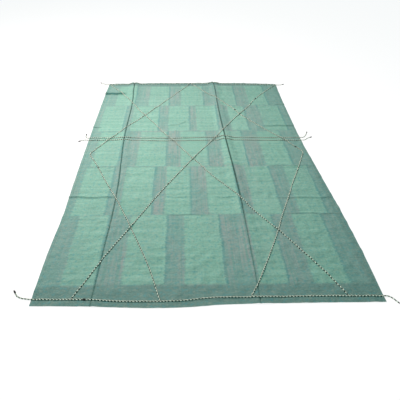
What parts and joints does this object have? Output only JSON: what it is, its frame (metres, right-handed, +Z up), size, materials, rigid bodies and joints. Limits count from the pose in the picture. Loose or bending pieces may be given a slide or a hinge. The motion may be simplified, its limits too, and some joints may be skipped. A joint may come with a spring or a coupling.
{
  "type": "fly sheet",
  "caption": "Flat rectangular tie-down fly sheet of woven cloth with a net of braided cords sewn on, free cord tails at both sides and two lengthwise fold creases.",
  "frame": {"origin": "on the ground under the middle of the laid-out sheet, without its cord tails", "axes": "+Z up; +Y along the sheet's length, towards the end that the two chevron cords start from; +X across it"},
  "size_m": [2.2428, 2.7412, 0.0304],
  "materials": {
    "cloth": "matt woven cloth, pale mint blocks on a greyer green ground",
    "braid": "black and off-white braided cord",
    "thread": "black waxed thread"
  },
  "bodies": {
    "middle_panel": {"cloth_middle": "cloth", "diagonal_a_middle": "braid", "diagonal_b_middle": "braid", "far_cord_middle": "braid", "left_chevron_far": "braid", "left_chevron_near": "braid", "near_cord_middle": "braid", "right_chevron_far": "braid", "right_chevron_near": "braid", "tie_diagonal_a_near": "thread", "waist_far_cord_middle": "braid", "waist_near_cord_middle": "braid"},
    "left_panel": {"cloth_left": "cloth", "diagonal_a_left": "braid", "diagonal_b_left": "braid", "far_cord_left": "braid", "left_chevron_side": "braid", "near_cord_left": "braid", "tail_far_left": "braid", "tail_near_left": "braid", "tail_waist_far_left": "braid", "tail_waist_near_left": "braid", "tie_left_chevron": "thread", "tie_near_cord": "thread", "tip_far_left": "thread", "tip_near_left": "thread", "tip_waist_far_left": "thread", "tip_waist_near_left": "thread", "waist_far_cord_left": "braid", "waist_near_cord_left": "braid"},
    "right_panel": {"cloth_right": "cloth", "diagonal_a_right": "braid", "diagonal_b_right": "braid", "far_cord_right": "braid", "near_cord_right": "braid", "right_chevron_side": "braid", "tail_far_right": "braid", "tail_near_right": "braid", "tail_waist_far_right": "braid", "tail_waist_near_right": "braid", "tie_diagonal_a_far": "thread", "tie_right_chevron_far": "thread", "tie_right_chevron_side": "thread", "tie_waist_far_cord": "thread", "tip_far_right": "thread", "tip_near_right": "thread", "tip_waist_far_right": "thread", "tip_waist_near_right": "thread", "waist_far_cord_right": "braid", "waist_near_cord_right": "braid"}
  },
  "joints": [
    {"name": "left_fold", "type": "hinge", "parent": "middle_panel", "child": "left_panel", "pos_m": [-0.668, 0, 0.02], "axis": [-0.017, 0.9999, 0], "range_deg": [0, 180]},
    {"name": "right_fold", "type": "hinge", "parent": "middle_panel", "child": "right_panel", "pos_m": [0.273, 0, 0.032], "axis": [0.0235, -0.9997, 0], "range_deg": [0, 180]}
  ]
}
